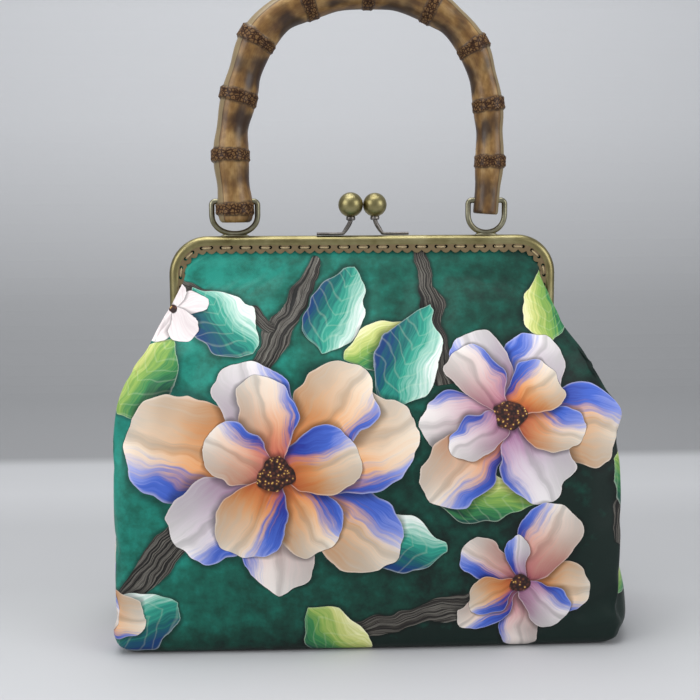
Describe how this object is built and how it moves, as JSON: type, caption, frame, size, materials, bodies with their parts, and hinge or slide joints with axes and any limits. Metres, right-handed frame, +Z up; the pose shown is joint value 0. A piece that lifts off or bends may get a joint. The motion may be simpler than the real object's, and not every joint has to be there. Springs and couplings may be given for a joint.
{
  "type": "kiss-lock frame handbag with a bamboo handle",
  "caption": "Structured cloth handbag with a brass kiss-lock purse frame, D-rings and an arched bamboo handle that swings.",
  "frame": {"origin": "midway between the widest points, on the floor, in the closing plane between the frame's halves", "axes": "+X to the viewer's right along the frame, +Y to the back, +Z up"},
  "size_m": [0.2639, 0.085, 0.3397],
  "materials": {
    "printed_satin": "satin weave with a large floral print",
    "antique_brass": "antiqued, satin",
    "dark_steel": "dark plated",
    "bamboo": "smoked and lacquered"
  },
  "bodies": {
    "bag": {"body_front": "printed_satin", "body_back": "printed_satin", "frame_front": "antique_brass", "frame_back": "antique_brass", "hinge_rivet_left": "dark_steel", "hinge_rivet_right": "dark_steel", "clasp_post_left": "dark_steel", "clasp_post_right": "dark_steel", "clasp_ball_left": "antique_brass", "clasp_ball_right": "antique_brass"},
    "bamboo_handle": {"handle": "bamboo"}
  },
  "joints": [
    {"name": "handle_swing", "type": "hinge", "parent": "bag", "child": "bamboo_handle", "pos_m": [-0.005, 0.00225, 0.2248], "axis": [1, 0, 0], "range_deg": [-120, 120]}
  ]
}
